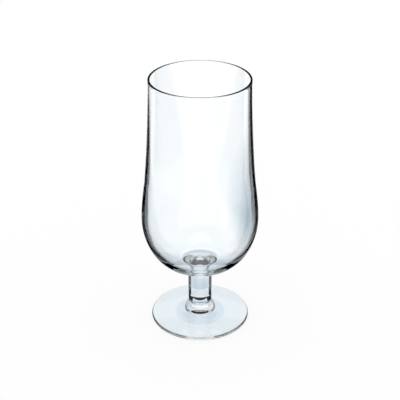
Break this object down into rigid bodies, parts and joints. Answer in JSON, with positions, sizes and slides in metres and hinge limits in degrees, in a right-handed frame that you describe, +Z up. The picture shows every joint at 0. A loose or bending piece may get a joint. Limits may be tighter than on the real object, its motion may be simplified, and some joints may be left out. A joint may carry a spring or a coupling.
{
  "type": "pilsner glass",
  "caption": "Clear stemmed beer glass: a tapering tulip bowl on a short solid stem, a bead knop and a round flat foot.",
  "frame": {"origin": "on the table, below the middle of the foot", "axes": "+Z up along the glass's axis of revolution, towards the rim; X and Y are free round that axis"},
  "size_m": [0.0754, 0.0754, 0.17],
  "materials": {
    "clear_glass": "clear colourless soda-lime glass, fire-polished to a high gloss"
  },
  "bodies": {
    "root": {"bowl": "clear_glass", "stem": "clear_glass", "knop": "clear_glass", "foot": "clear_glass"}
  },
  "joints": []
}
